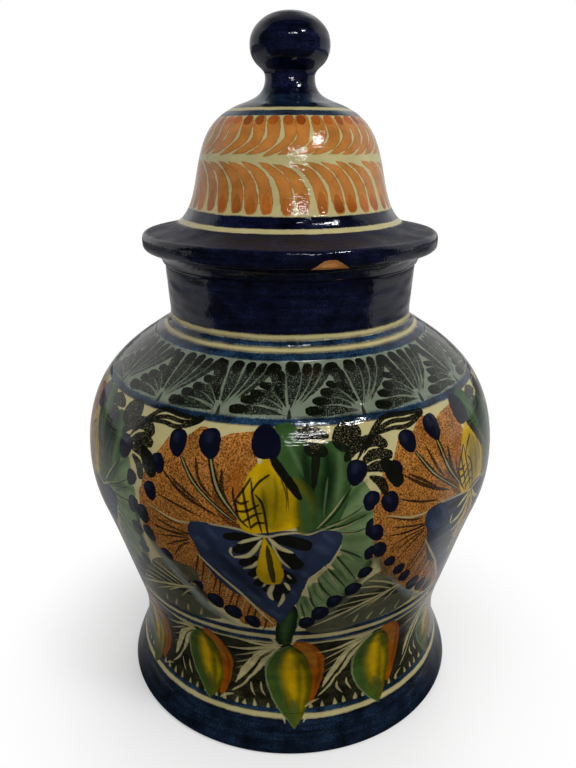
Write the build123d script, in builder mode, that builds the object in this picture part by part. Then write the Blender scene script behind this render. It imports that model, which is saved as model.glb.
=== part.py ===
# Lidded earthenware storage jar: a thrown jar, its lift-off lid and the knob set on the lid.
# Millimetres, +Z up, origin at the middle of the foot on the table.

import os
from math import hypot

from build123d import *

# jar, outside: radii, and the rise from each station to the next
foot_radius = 102.5
foot_edge_round = 2.0
foot_ease_radius = 96.6
foot_ease_rise = 16.0
waist_radius = 92.6
waist_rise = 24.0
hip_radius = 98.8
hip_rise = 32.0
flank_radius = 112.6
flank_rise = 46.0
belly_radius = 118.7
belly_rise = 31.0
shoulder_radius = 104.0
shoulder_rise = 46.5
slope_radius = 87.2
slope_rise = 15.1
neck_radius = 68.2
collar_spread = 4.4
collar_rise = 9.6
neck_rise = 7.8
mouth_radius = 69.8
neck_length = 27.0

# jar, inside and below
jar_wall = 7.5
neck_wall = 7.2
floor_thickness = 11.0
well_round = 12.0
rim_round = 1.8
recess_radius = 84.0
recess_depth = 4.0

# lid: the brim's stations are set in from its edge
brim_radius = 81.4
brim_under_inset = 10.4
brim_lip_inset = 3.8
brim_lip_rise = 6.4
brim_edge_rise = 5.2
brim_shelf_inset = 2.4
brim_shelf_rise = 4.4
brim_top_inset = 20.6
brim_top_rise = 5.4
dome_foot_radius = 57.2
dome_foot_rise = 4.0
dome_side_radius = 50.6
dome_side_rise = 20.6
dome_crown_radius = 41.6
dome_crown_rise = 24.0
dome_top_rise = 11.0
lid_wall = 6.5
flange_depth = 13.0
flange_wall = 5.5
flange_clearance = 2.0
flange_edge_round = 1.5

# knob
knob_seat_radius = 25.0
knob_waist_radius = 13.1
knob_waist_rise = 12.4
knob_cup_radius = 16.4
knob_cup_rise = 5.4
knob_radius = 20.9
knob_side_rise = 9.8
knob_crown_radius = 16.8
knob_crown_rise = 10.0
knob_top_rise = 6.2

os.makedirs("parts", exist_ok=True)


# the point that lies a wall's thickness inside a station, square to the outline there
def square_inset(before, station, after, wall):
    run = after[0] - before[0]
    rise = after[1] - before[1]
    length = hypot(run, rise)
    return (station[0] - wall * rise / length, station[1] + wall * run / length)


# jar: one wall from the foot to the mouth, hollow, open at the top, with a shallow recess under the foot
foot_start = (foot_radius, foot_edge_round)
foot_ease = (foot_ease_radius, foot_start[1] + foot_ease_rise)
waist = (waist_radius, foot_ease[1] + waist_rise)
hip = (hip_radius, waist[1] + hip_rise)
flank = (flank_radius, hip[1] + flank_rise)
belly = (belly_radius, flank[1] + belly_rise)
shoulder = (shoulder_radius, belly[1] + shoulder_rise)
slope = (slope_radius, shoulder[1] + slope_rise)
collar = (neck_radius + collar_spread, slope[1] + collar_rise)
neck = (neck_radius, collar[1] + neck_rise)
mouth = (mouth_radius, neck[1] + neck_length)

inner_waist = (waist_radius - jar_wall, waist[1])
inner_hip = square_inset(waist, hip, flank, jar_wall)
inner_flank = square_inset(hip, flank, belly, jar_wall)
inner_belly = (belly_radius - jar_wall, belly[1])
inner_shoulder = square_inset(belly, shoulder, slope, jar_wall)
inner_slope = square_inset(shoulder, slope, collar, jar_wall)
inner_neck = (neck_radius - neck_wall, neck[1])
inner_mouth = (mouth_radius - neck_wall, mouth[1])
well_radius = waist_radius - jar_wall

with BuildPart() as jar:
    with BuildSketch(Plane.XZ):
        with BuildLine():
            Line((0, recess_depth), (recess_radius, recess_depth))
            Line((recess_radius, recess_depth), (recess_radius, 0))
            Line((recess_radius, 0), (foot_radius - foot_edge_round, 0))
            RadiusArc((foot_radius - foot_edge_round, 0), foot_start, -foot_edge_round)
            Spline(foot_start, foot_ease, waist, tangents=[(-0.2, 1), (0, 1)])
            Spline(waist, hip, flank, belly, tangents=[(0, 1), (0, 1)])
            Spline(belly, shoulder, slope, collar, neck, tangents=[(0, 1), (0, 1)])
            Line(neck, mouth)
            Line(mouth, inner_mouth)
            Line(inner_mouth, inner_neck)
            Spline(inner_neck, inner_slope, inner_shoulder, inner_belly, tangents=[(0, -1), (0, -1)])
            Spline(inner_belly, inner_flank, inner_hip, inner_waist, tangents=[(0, -1), (0, -1)])
            Line(inner_waist, (well_radius, floor_thickness + well_round))
            RadiusArc(
                (well_radius, floor_thickness + well_round),
                (well_radius - well_round, floor_thickness),
                well_round,
            )
            Line((well_radius - well_round, floor_thickness), (0, floor_thickness))
            Line((0, floor_thickness), (0, recess_depth))
        make_face()
    revolve(axis=Axis.Z)
    rim_edges = jar.faces().filter_by(Axis.Z).sort_by(Axis.Z)[-1].edges()
    fillet(rim_edges, radius=rim_round)
jar.part.label = "jar"

# lid: a sloping brim with a rolled edge that rests on the mouth, a hollow dome above it
# and a flange that drops into the neck
lid_seat = mouth[1]
brim_under = (brim_radius - brim_under_inset, lid_seat)
brim_lip = (brim_radius - brim_lip_inset, lid_seat + brim_lip_rise)
brim_edge = (brim_radius, brim_lip[1] + brim_edge_rise)
brim_shelf = (brim_radius - brim_shelf_inset, brim_edge[1] + brim_shelf_rise)
brim_top = (brim_radius - brim_top_inset, brim_shelf[1] + brim_top_rise)
dome_foot = (dome_foot_radius, brim_top[1] + dome_foot_rise)
dome_side = (dome_side_radius, dome_foot[1] + dome_side_rise)
dome_crown = (dome_crown_radius, dome_side[1] + dome_crown_rise)
dome_top = (knob_seat_radius, dome_crown[1] + dome_top_rise)
flange_radius = inner_mouth[0] - flange_clearance
flange_bore_radius = flange_radius - flange_wall
flange_foot = lid_seat - flange_depth
cavity_top = (0, dome_top[1] - lid_wall)
cavity_crown = square_inset(dome_side, dome_crown, dome_top, lid_wall)
cavity_side = (dome_side_radius - lid_wall, dome_side[1])

with BuildPart() as lid:
    with BuildSketch(Plane.XZ):
        with BuildLine():
            Line((flange_bore_radius, flange_foot), (flange_radius, flange_foot))
            Line((flange_radius, flange_foot), (flange_radius, lid_seat))
            Line((flange_radius, lid_seat), brim_under)
            Spline(brim_under, brim_lip, tangents=[(0.4, 1), (1, 0.1)])
            Spline(brim_lip, brim_edge, brim_shelf, tangents=[(1, 0.1), (-1, 0.3)])
            Spline(brim_shelf, brim_top, tangents=[(-1, 0.25), (-1, 0.75)])
            Spline(brim_top, dome_foot, dome_side, tangents=[(-1, 0.75), (-0.2, 1)])
            Spline(dome_side, dome_crown, dome_top, tangents=[(-0.2, 1), (-1, 0.35)])
            Line(dome_top, (0, dome_top[1]))
            Line((0, dome_top[1]), cavity_top)
            Spline(cavity_top, cavity_crown, cavity_side, tangents=[(1, 0), (0.2, -1)])
            Line(cavity_side, (flange_bore_radius, lid_seat))
            Line((flange_bore_radius, lid_seat), (flange_bore_radius, flange_foot))
        make_face()
    revolve(axis=Axis.Z)
    flange_edges = lid.faces().filter_by(Axis.Z).sort_by(Axis.Z)[0].edges()
    fillet(flange_edges, radius=flange_edge_round)
lid.part.label = "lid"

# knob: a skirt that spreads on to the dome, a waist and a flattened ball
knob_seat = dome_top
knob_waist = (knob_waist_radius, knob_seat[1] + knob_waist_rise)
knob_cup = (knob_cup_radius, knob_waist[1] + knob_cup_rise)
knob_side = (knob_radius, knob_cup[1] + knob_side_rise)
knob_crown = (knob_crown_radius, knob_side[1] + knob_crown_rise)
knob_top = (0, knob_crown[1] + knob_top_rise)

with BuildPart() as lid_knob:
    with BuildSketch(Plane.XZ):
        with BuildLine():
            Line((0, knob_seat[1]), knob_seat)
            Spline(knob_seat, knob_waist, tangents=[(-1, 0.35), (0, 1)])
            Spline(knob_waist, knob_cup, knob_side, tangents=[(0, 1), (0, 1)])
            Spline(knob_side, knob_crown, knob_top, tangents=[(0, 1), (-1, 0)])
            Line(knob_top, (0, knob_seat[1]))
        make_face()
    revolve(axis=Axis.Z)
lid_knob.part.label = "lid_knob"

for piece in (jar, lid, lid_knob):
    export_step(piece.part, f"parts/{piece.part.label}.step")
    print(piece.part.label, "volume", round(piece.part.volume / 1000), "cm3", piece.part.bounding_box().size)
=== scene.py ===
import math
import random

import bmesh
import bpy
import numpy as np
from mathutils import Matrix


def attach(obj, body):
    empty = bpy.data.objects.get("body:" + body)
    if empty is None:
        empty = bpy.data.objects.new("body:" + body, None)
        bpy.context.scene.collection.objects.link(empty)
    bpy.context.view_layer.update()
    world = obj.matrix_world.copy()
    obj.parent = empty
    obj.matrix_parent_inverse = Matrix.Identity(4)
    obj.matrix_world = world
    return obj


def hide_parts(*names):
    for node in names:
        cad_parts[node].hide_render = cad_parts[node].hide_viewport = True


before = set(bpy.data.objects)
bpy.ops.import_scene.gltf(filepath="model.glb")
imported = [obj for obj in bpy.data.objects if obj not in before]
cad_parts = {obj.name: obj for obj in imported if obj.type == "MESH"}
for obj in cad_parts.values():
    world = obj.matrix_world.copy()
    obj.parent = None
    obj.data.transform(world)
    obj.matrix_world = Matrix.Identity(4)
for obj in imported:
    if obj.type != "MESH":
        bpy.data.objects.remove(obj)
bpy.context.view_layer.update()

mm = 0.001
rng = random.Random(7)


def jitter(amount):
    return rng.uniform(-amount, amount)


def srgb(*levels):  # a colour written as 0 to 255 levels
    return tuple(((v / 255 + 0.055) / 1.055) ** 2.4 if v > 10 else v / 255 / 12.92 for v in levels)


pigment = {name: srgb(*levels) for name, levels in {
    "cream": (168, 158, 112), "inside": (164, 144, 102), "clay": (160, 96, 50), "chipClay": (206, 138, 74),
    "cobalt": (33, 42, 62), "cobaltPale": (66, 80, 106), "budBlue": (7, 9, 24),
    "lineBlue": (14, 30, 45), "navy": (5, 7, 22), "footBlue": (7, 16, 28),
    "ink": (12, 13, 7), "inkSoft": (66, 67, 50), "ground": (20, 20, 10), "stalk": (142, 140, 96),
    "rust": (136, 83, 20), "rustDeep": (124, 64, 2), "rustDark": (66, 30, 4),
    "amber": (162, 103, 45), "amberDark": (150, 70, 12), "amberDeep": (116, 48, 4),
    "leafGreen": (42, 68, 32), "leafPale": (92, 110, 72), "leafDark": (10, 28, 10), "fruitGreen": (56, 74, 22),
    "yellow": (170, 136, 2), "olive": (74, 72, 2), "wash": (103, 112, 95), "washGrey": (108, 114, 106),
}.items()}


def placed(name, data):
    made = bpy.data.objects.new(name, data)
    bpy.context.collection.objects.link(made)
    return made


def meshed(name, bm):
    mesh = bpy.data.meshes.new(name)
    bm.to_mesh(mesh)
    bm.free()
    return placed(name, mesh)


# revolved pieces: the solid's own outline, cut out and spun again with an even mesh

fineStep = 0.2  # mm along the outline before it is thinned out
cornerTurn, bendTurn, crispTurn = 12, 14, 32  # degrees: a corner, the bend of one step, a crisp edge


def cutOutline(node):  # half outline of a solid in the XZ plane, as (radius, height) in mm
    bm = bmesh.new()
    bm.from_mesh(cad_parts[node].data)
    bmesh.ops.remove_doubles(bm, verts=bm.verts, dist=0.02 * mm)
    cut = bmesh.ops.bisect_plane(
        bm, geom=bm.verts[:] + bm.edges[:] + bm.faces[:], dist=1e-6,
        plane_co=(0, 0, 0), plane_no=(0, 1, 0), clear_inner=True, clear_outer=True)
    near = {}
    for e in cut["geom_cut"]:
        if isinstance(e, bmesh.types.BMEdge):
            a, b = e.verts
            if min(a.co.x, b.co.x) > -1e-5 and max(a.co.x, b.co.x) > 1e-5:
                near.setdefault(a, []).append(b)
                near.setdefault(b, []).append(a)
    ends = [v for v in near if len(near[v]) == 1]
    pick = min if node == "jar" else max
    chain = [pick(ends, key=lambda v: v.co.z)]
    seen = set(chain)
    while onward := [v for v in near[chain[-1]] if v not in seen]:
        chain.append(onward[0])
        seen.add(onward[0])
    line = [(max(v.co.x, 0) / mm, v.co.z / mm) for v in chain]
    bm.free()
    return np.array([(0, line[0][1])] * (line[0][0] > 0.05) + line + [(0, line[-1][1])] * (line[-1][0] > 0.05))


def lengthsAlong(points):
    return np.concatenate([[0], np.cumsum(np.hypot(*np.diff(points, axis=0).T))])


def evenOutline(line, breaks, gaps):  # a smooth outline, closer where it turns, with a gap for each stretch
    run = lengthsAlong(line)
    way = np.diff(line, axis=0) / np.diff(run)[:, None]
    turn = np.degrees(np.arccos(np.clip((way[1:] * way[:-1]).sum(1), -1, 1)))
    at = [int(np.hypot(*(line - point).T).argmin()) for point in breaks]
    corners = sorted({0, len(line) - 1, *at, *(np.where(turn > cornerTurn)[0] + 1)})
    points, starts = [], {}
    for a, b in zip(corners[:-1], corners[1:]):
        gap = gaps[sum(a >= i for i in at)]
        starts.update({i: len(points) for i, point in enumerate(at) if a == point})
        s = np.arange(run[a], run[b], fineStep)
        part, where = line[a:b + 1], run[a:b + 1]
        slope = np.gradient(part, where, axis=0) if b - a > 1 else np.repeat(way[a][None], 2, 0)
        k = np.clip(np.searchsorted(where, s, "right") - 1, 0, b - a - 1)
        h = (where[k + 1] - where[k])[:, None]
        u = ((s - where[k])[:, None]) / h
        fine = ((2 * u ** 3 - 3 * u ** 2 + 1) * part[k] + (u ** 3 - 2 * u ** 2 + u) * h * slope[k]
                + (3 * u ** 2 - 2 * u ** 3) * part[k + 1] + (u ** 3 - u ** 2) * h * slope[k + 1])
        fine = np.concatenate([fine, line[b][None]])
        step = np.diff(fine, axis=0)
        bend = np.abs(np.diff(np.unwrap(np.arctan2(step[:, 1], step[:, 0])), prepend=np.nan))
        bend[0] = 0
        count = np.concatenate([[0], np.cumsum(np.hypot(*step.T) / gap + bend / math.radians(bendTurn))])
        picks = np.linspace(0, count[-1], max(1, round(count[-1])) + 1)[:-1]
        points += [(np.interp(p, count, fine[:, 0]), np.interp(p, count, fine[:, 1])) for p in picks]
    points = np.array(points + [tuple(line[-1])])
    points[:, 0] = np.maximum(points[:, 0], 0)
    return points, lengthsAlong(points), [starts[i] for i in range(len(breaks))]


def spunPiece(name, form, node, body):
    points, travel, marks = evenOutline(cutOutline(node), form["breaks"], form["gaps"])
    bm = bmesh.new()
    way = bm.verts.layers.float.new("travel")
    chain = []
    for (r, z), s in zip(points, travel):
        v = bm.verts.new((0, r * mm, z * mm))  # starts at the back, so the seam is there
        v[way] = s
        chain.append(v)
    edges = [bm.edges.new(pair) for pair in zip(chain[:-1], chain[1:])]
    about = {"cent": (0, 0, 0), "axis": (0, 0, 1)}
    sectors = form["sectors"]  # one sector, then its copies: quicker than one long spin
    bmesh.ops.spin(bm, geom=chain + edges, angle=math.tau / sectors, steps=form["steps"] // sectors, **about)
    bmesh.ops.spin(bm, geom=bm.verts[:] + bm.edges[:] + bm.faces[:], angle=math.tau * (1 - 1 / sectors),
                   steps=sectors - 1, use_duplicate=True, **about)
    bmesh.ops.remove_doubles(bm, verts=bm.verts, dist=1e-6)
    bmesh.ops.recalc_face_normals(bm, faces=bm.faces)
    for f in bm.faces:
        f.smooth = True
    for e in bm.edges:  # crisp where the clay has a corner
        e.smooth = e.calc_face_angle(0) < math.radians(crispTurn)
    piece = meshed(name, bm)
    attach(piece, body)
    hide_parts(node)
    spread = [0] + [travel[m] for m in marks] + [travel[-1]]
    unwrap(piece, spread, form["shares"])
    print(name, len(piece.data.polygons), "faces, outline stretches at", [round(float(s), 1) for s in spread])
    return piece, points, travel, marks


def meshArrays(mesh):
    def read(data, field, kind=int, size=1):
        values = np.empty(len(data) * size, kind)
        data.foreach_get(field, values)
        return values

    corner = read(mesh.loops, "vertex_index")
    co = read(mesh.vertices, "co", float, 3).reshape(-1, 3)
    travel = read(mesh.attributes["travel"].data, "value", np.float32).astype(float)
    return corner, co, travel, read(mesh.polygons, "loop_start"), read(mesh.polygons, "loop_total")


def unwrap(piece, spread, shares):  # round the axis across the map, along the outline up it
    mesh = piece.data
    corner, co, travel, start, total = meshArrays(mesh)
    face = np.repeat(np.arange(len(start)), total)
    x, y = co[corner, 0], -co[corner, 1]
    middle = np.arctan2(np.bincount(face, x), np.bincount(face, y))[face]
    angle = middle + np.angle(np.exp(1j * (np.arctan2(x, y) - middle)))
    angle = np.where(np.hypot(x, y) < 1e-6, middle, angle)
    up = np.interp(travel[corner], spread, np.concatenate([[0], np.cumsum(shares)]))
    layer = mesh.uv_layers.new(name="OFBake")
    layer.data.foreach_set("uv", np.stack([angle / math.tau + 0.5, up], 1).ravel())


# painting: a stroke is a line on the wall, and the faces it touches keep how far across and along it they are

layerCount = 8


class PaintedWall:  # the outside of a revolved piece, with places on it in degrees from the front and mm up
    def __init__(self, piece, points, travel, first, last):
        self.piece = piece
        rises = points[last, 1] > points[first, 1]
        order = slice(first, last + 1) if rises else slice(last, first - 1 if first else None, -1)
        self.run, self.radius, self.height = travel[order], points[order, 0], points[order, 1]
        corner, co, along, start, total = meshArrays(piece.data)
        loops = start[total == 4][:, None] + np.arange(4)
        verts = corner[loops]
        s = along[verts]
        outside = (s.min(1) >= travel[first] - 0.01) & (s.max(1) <= travel[last] + 0.01)
        self.loops, verts = loops[outside], verts[outside]
        self.along = along[verts]
        x, y = co[verts, 0] / mm, -co[verts, 1] / mm
        self.reach = np.hypot(x, y)
        middle = np.arctan2(x.mean(1), y.mean(1))[:, None]
        self.angle = middle + np.angle(np.exp(1j * (np.arctan2(x, y) - middle)))
        self.low, self.high = self.along.min(1), self.along.max(1)
        faces = len(self.loops)
        self.depth = np.zeros(faces, int)
        self.place, self.form, self.ink = (
            np.zeros((layerCount, faces, 4, size), np.float32) for size in (3, 4, 4))
        self.strokes = 0

    def brush(self, path, width, ink, ends=(1, 0.4), tail=1.0, grain=0.0, cover=1.0, soft=False):
        # width: the widest, in mm; ends: taper at the start and at the end
        # tail: pigment left at the start, or 1 and the pigment all along
        # grain: how far it breaks into specks, or 1 and how far it is sponged
        # cover: how much it hides; soft: fades out to its sides
        at = np.array(path, float)
        ref = math.radians(at[:, 0].mean())
        v = np.interp(at[:, 1], self.height, self.run)
        r = np.interp(at[:, 1], self.height, self.radius)
        line = curve(np.stack([(np.radians(at[:, 0]) - ref) * r, v], 1))
        half = width / 2 / strokeWidth(ends[0] / sum(ends), ends)
        margin = width / 2 + 3
        low, high = line.min(0) - margin, line.max(0) + margin
        near = np.where((self.low < high[1]) & (self.high > low[1]))[0]
        away = np.angle(np.exp(1j * (self.angle[near] - ref)))
        x = away * self.reach[near]
        hit = (x.min(1) < high[0]) & (x.max(1) > low[0]) & (np.abs(away).max(1) < 2)
        near, x, y = near[hit], x[hit], self.along[near[hit]]
        if not len(near):
            return
        px = np.concatenate([x, x.mean(1, keepdims=True)], 1)
        py = np.concatenate([y, y.mean(1, keepdims=True)], 1)
        t, s = nearest(line, px, py)
        s = s / half
        inside = strokeWidth(t, ends) - np.abs(s)
        slack = np.hypot(px[:, 0] - px[:, 2], py[:, 0] - py[:, 2]) * 0.45 + 0.5
        hit = ((inside * half).max(1) > -slack) & (t.max(1) > 0) & (t.min(1) < 1)
        near, t, s, inside = near[hit], t[hit], s[hit], inside[hit]
        solid = ((inside * half).min(1) > 1.2) & (cover > 0.97) & (grain == 0 or grain > 1) & (tail == 1) & (not soft)
        self.depth[near[solid]] = 0
        full = near[self.depth[near] == layerCount]
        for bank in (self.place, self.form, self.ink):  # the lowest stroke but one gives way
            bank[1:-1, full] = bank[2:, full]
        self.depth[full] -= 1
        k = self.depth[near]
        self.place[k, near] = np.stack([s[:, :4], t[:, :4], np.full_like(t[:, :4], half)], -1)
        self.form[k, near] = (*ends, grain, tail)
        self.ink[k, near] = (*pigment[ink], cover + 2 * soft)
        self.depth[near] += 1
        self.strokes += 1

    def keep(self):  # writes the strokes to the mesh, one set of values for each layer
        mesh = self.piece.data
        deepest = int(self.depth.max())
        for k in range(deepest):
            used = self.depth > k
            for word, bank, field, blank in (
                    ("place", self.place, "vector", (9, 0, 1)),
                    ("form", self.form, "color", (1, 1, 0, 1)),
                    ("ink", self.ink, "color", (0, 0, 0, 0))):
                values = np.tile(np.array(blank, np.float32), (len(mesh.loops), 1))
                values[self.loops[used]] = bank[k][used]
                layer = mesh.attributes.new(f"{word}{k}", "FLOAT_" + field.upper(), "CORNER")
                layer.data.foreach_set(field, values.ravel())
        print(self.piece.name, self.strokes, "strokes, deepest", deepest)
        return deepest


def strokeWidth(t, ends):
    t = np.clip(t, 0, 1)
    return t ** ends[0] * (1 - t) ** ends[1]


def curve(points):  # a smooth line through the points
    if len(points) == 2:
        return points
    ends = np.concatenate([[2 * points[0] - points[1]], points, [2 * points[-1] - points[-2]]])
    line = []
    for a, b, c, d in zip(ends[:-3], ends[1:-2], ends[2:-1], ends[3:]):
        for u in np.arange(7) / 7:
            line.append(b + 0.5 * u * (c - a + u * (2 * a - 5 * b + 4 * c - d + u * (3 * (b - c) + d - a))))
    return np.array(line + [points[-1]])


def nearest(line, x, y):  # share of the way along a line, and signed distance from it
    step = np.diff(line, axis=0)
    length = np.hypot(*step.T)
    run = lengthsAlong(line)
    dx, dy = x[..., None] - line[:-1, 0], y[..., None] - line[:-1, 1]
    low, high = np.zeros(len(length)), np.ones(len(length))
    low[0], high[-1] = -9, 9
    u = np.clip((dx * step[:, 0] + dy * step[:, 1]) / length ** 2, low, high)
    ox, oy = dx - u * step[:, 0], dy - u * step[:, 1]
    pick = np.hypot(ox, oy).argmin(-1)[..., None]
    u, ox, oy = (np.take_along_axis(a, pick, -1)[..., 0] for a in (u, ox, oy))
    pick = pick[..., 0]
    side = np.sign(step[pick, 0] * oy - step[pick, 1] * ox)
    return (run[pick] + u * length[pick]) / run[-1], side * np.hypot(ox, oy)


def brusher(wall, turn, slim=1.0, rise=1.6):  # strokes laid by a loose hand, in degrees from a turn
    def lay(path, width, ink, ends, cover=1.0, loose=0.3, **more):  # path: degrees and mm up, by turns
        spots = zip(path[::2], path[1::2])
        spots = [(d * slim + turn + jitter(loose), z + jitter(loose * rise)) for d, z in spots]
        wall.brush(spots, width * slim, ink, ends=ends, cover=cover, **more)

    def wash(path, width, ink, cover=1.0, ends=(0.5, 0.5), loose=0.3):
        lay(path, width, ink, ends, cover, loose, soft=True)

    return lay, wash


# shading groups

def put(kind, inputs=(), tree=None, **settings):  # a node, in the tree that its inputs come from
    links = {key: value for key, value in dict(inputs).items() if isinstance(value, bpy.types.NodeSocket)}
    if links:
        tree = next(iter(links.values())).id_data
    made = tree.nodes.new(kind if kind.startswith("NodeGroup") else "ShaderNode" + kind)
    for word, value in settings.items():
        setattr(made, word, value)
    for key, value in dict(inputs).items():
        if key in links:
            tree.links.new(value, made.inputs[key])
        else:
            made.inputs[key].default_value = value
    return made


def sums(operation, *values, clamped=False):
    return put("Math", dict(enumerate(values)), operation=operation, use_clamp=clamped).outputs[0]


def times(a, b):
    return sums("MULTIPLY", a, b)


def plus(a, b):
    return sums("ADD", a, b)


def minus(a, b, clamped=False):
    return sums("SUBTRACT", a, b, clamped=clamped)


def blended(share, a, b):  # a value between two others
    return put("Mix", {0: share, 2: a, 3: b}).outputs[0]


def mixed(share, a, b, way="MIX"):  # a colour between two others
    return put("Mix", {0: share, 6: a, 7: b}, data_type="RGBA", blend_type=way).outputs[2]


def tinted(a, b):
    return mixed(1.0, a, b, "MULTIPLY")


def ranged(value, low, high, toLow=0.0, toHigh=1.0, way="SMOOTHSTEP"):
    inputs = {0: value, 1: low, 2: high, 3: toLow, 4: toHigh}
    return put("MapRange", inputs, interpolation_type=way).outputs[0]


def scaled(value, toLow, toHigh, low=0.3, high=0.7):
    return ranged(value, low, high, toLow, toHigh, "LINEAR")


def noise(vector, scale, detail=2.0, rough=0.5):
    inputs = {"Vector": vector, "Scale": scale, "Detail": detail, "Roughness": rough}
    return put("TexNoise", inputs).outputs["Fac"]


def newGroup(name, inputs, outputs):
    tree = bpy.data.node_groups.new(name, "ShaderNodeTree")
    for way, sockets in (("INPUT", inputs), ("OUTPUT", outputs)):
        for word, kind in sockets.items():
            tree.interface.new_socket(word, in_out=way, socket_type="NodeSocket" + kind)
    return tree, put("NodeGroupInput", tree=tree).outputs, put("NodeGroupOutput", tree=tree).inputs


def makeGlazeGrain():  # uneven colour and edges of brushed pigment under a glaze
    words = ("Grit", "Sponge", "Tone", "Edge", "Sway", "Rings", "Drift", "Dimple", "Ridge")
    tree, _, out = newGroup("glazeGrain", {}, dict.fromkeys(words, "Float"))
    place = put("TexCoord", tree=tree).outputs["Object"]

    def stretched(share):  # drawn out round the axis
        return put("Mapping", {"Vector": place, "Scale": (share, share, 1)}).outputs[0]

    def swing(scale, amount):  # noise about zero
        return times(minus(noise(place, scale, 1.0), 0.5), amount)

    for word, value in {
            "Grit": scaled(noise(place, 1700, 2, 0.6), 0, 1, 0.34, 0.66),
            "Sponge": scaled(noise(place, 1250, 2, 0.6), 0, 1, 0.37, 0.63),
            "Tone": noise(place, 95, 3, 0.6),
            "Edge": plus(swing(480, 0.9), swing(130, 1.4)),
            "Sway": swing(45, 2.2),
            "Drift": swing(11, 2.4),
            "Dimple": noise(place, 620, 1),
            "Rings": noise(stretched(0.07), 420, 3, 0.65),
            "Ridge": noise(stretched(0.3), 105, 1)}.items():
        tree.links.new(value, out[word])
    return tree


strokeGrain = ("Grit", "Sponge", "Edge", "Sway")


def makeBrushStroke():  # lays one stroke over the colour under it
    tree, give, out = newGroup("brushStroke", {
        "Under": "Color", "Place": "Vector", "Form": "Color", "Tail": "Float", "Ink": "Color", "Cover": "Float",
        "Tone": "Float", **dict.fromkeys(strokeGrain, "Float")}, {"Colour": "Color"})
    under, place, form, tail, ink, cover, tone, grit, sponge, edge, sway = give[:11]
    across, along, half = put("SeparateXYZ", {0: place}).outputs
    start, end, grain = put("SeparateColor", {0: form}).outputs
    sponged = minus(grain, 1.0, True)
    grain = times(grain, sums("LESS_THAN", grain, 1.001))
    soft = sums("GREATER_THAN", cover, 1.5)
    t = put("Clamp", {0: along}).outputs[0]
    wide = times(sums("POWER", t, start), sums("POWER", minus(1.0, t), end))
    wide = times(wide, half)
    loose = ranged(half, 0.5, 6.0, 0.2, 1.0)  # thin strokes waver less
    offset = sums("ABSOLUTE", sums("MULTIPLY_ADD", across, half, times(sway, loose)))
    room = sums("MULTIPLY_ADD", edge, loose, minus(wide, offset))
    fade = sums("MULTIPLY_ADD", times(soft, half), 0.5, 0.28)
    lies = times(ranged(room, -0.15, fade), ranged(wide, 0.0, 0.3))
    even = sums("GREATER_THAN", tail, 1.001)
    rising = sums("MULTIPLY_ADD", minus(1.0, tail), t, tail)
    load = blended(even, rising, minus(tail, 1.0))
    speck = sums("DIVIDE", minus(load, times(grain, grit)),
                 minus(1.0, times(grain, 0.9)), clamped=True)
    amount = times(times(lies, speck), sums("MULTIPLY_ADD", soft, -2.0, cover))
    dark = tinted(ink, (0.22, 0.19, 0.18, 1))
    bright = mixed(0.16, tinted(ink, (1.75, 1.62, 1.5, 1)), (*pigment["cream"], 1))
    dab = mixed(sponge, dark, bright)
    pooled = sums("MAXIMUM", ranged(room, 0.1, 1.1, 0.76, 1.0), soft)  # darker rim
    shade = tinted(mixed(sponged, ink, dab), times(tone, pooled))
    tree.links.new(mixed(amount, under, shade), out["Colour"])
    return tree


glazeGrain = makeGlazeGrain()
brushStroke = makeBrushStroke()
bandGrain = ("Edge", "Drift", "Rings", "Tone", "Sponge")


def bandGroup(name, bands, wall):  # bands: height where each ends, and its colour
    inputs = dict.fromkeys(("Travel", *bandGrain), "Float")
    tree, give, out = newGroup(name, inputs, {"Colour": "Color", "Lumpy": "Float"})
    ends = [float(np.interp(top, wall.height, wall.run)) for top, _ in bands[:-1]]
    inks = [ink for _, ink in bands]
    if wall.run[0] > wall.run[-1]:
        ends, inks = ends[::-1], inks[::-1]
    low, high = ends[0] - 5, ends[-1] + 5
    wander = plus(times(give["Edge"], 0.5), give["Drift"])
    ramp = put("ValToRGB", {0: scaled(plus(give["Travel"], wander), 0, 1, low, high)})
    colour, stops = ramp.outputs[0], []
    for end, *pair in zip(ends, inks[:-1], inks[1:]):
        stops += [((end + side - low) / (high - low), ink) for side, ink in zip((-0.2, 0.2), pair)]
    ramp = ramp.color_ramp
    while len(ramp.elements) < len(stops):
        ramp.elements.new(0.5)
    for element, (share, _) in zip(ramp.elements, stops):
        element.position = share
    for element, (_, ink) in zip(ramp.elements, stops):
        element.color = (*pigment[ink], 1)
    streak = scaled(give["Rings"], 0.45, 2.0)
    cloud = scaled(give["Tone"], 0.25, 2.0)
    fleck = scaled(give["Sponge"], 0.7, 1.8, 0.2, 0.95)
    pale = ranged(put("RGBToBW", {0: colour}).outputs[0], 0.04, 0.16)
    dark = times(times(streak, cloud), fleck)  # dark bands are streaky, pale ones cloudy
    both = blended(pale, dark, scaled(give["Tone"], 0.9, 1.07))
    tree.links.new(tinted(colour, both), out["Colour"])
    tree.links.new(minus(1.0, pale), out["Lumpy"])
    return tree


glaze = {
    "gloss": (0.05, 0.11), "dust": (0.36, 0.52), "bareRough": 0.7, "ior": 1.5, "bump": 0.4, "bumpDepth": 0.0005,
    "rings": 0.7, "tone": 0.8, "dimple": 0.34, "grit": 0.5, "ridge": 2.0, "lumps": 9.0,
}


def within(way, start, end, fade):  # 1 along a stretch of the outline and 0 past it
    return times(ranged(way, start - fade, start + fade), ranged(way, end + fade, end - fade))


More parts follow.
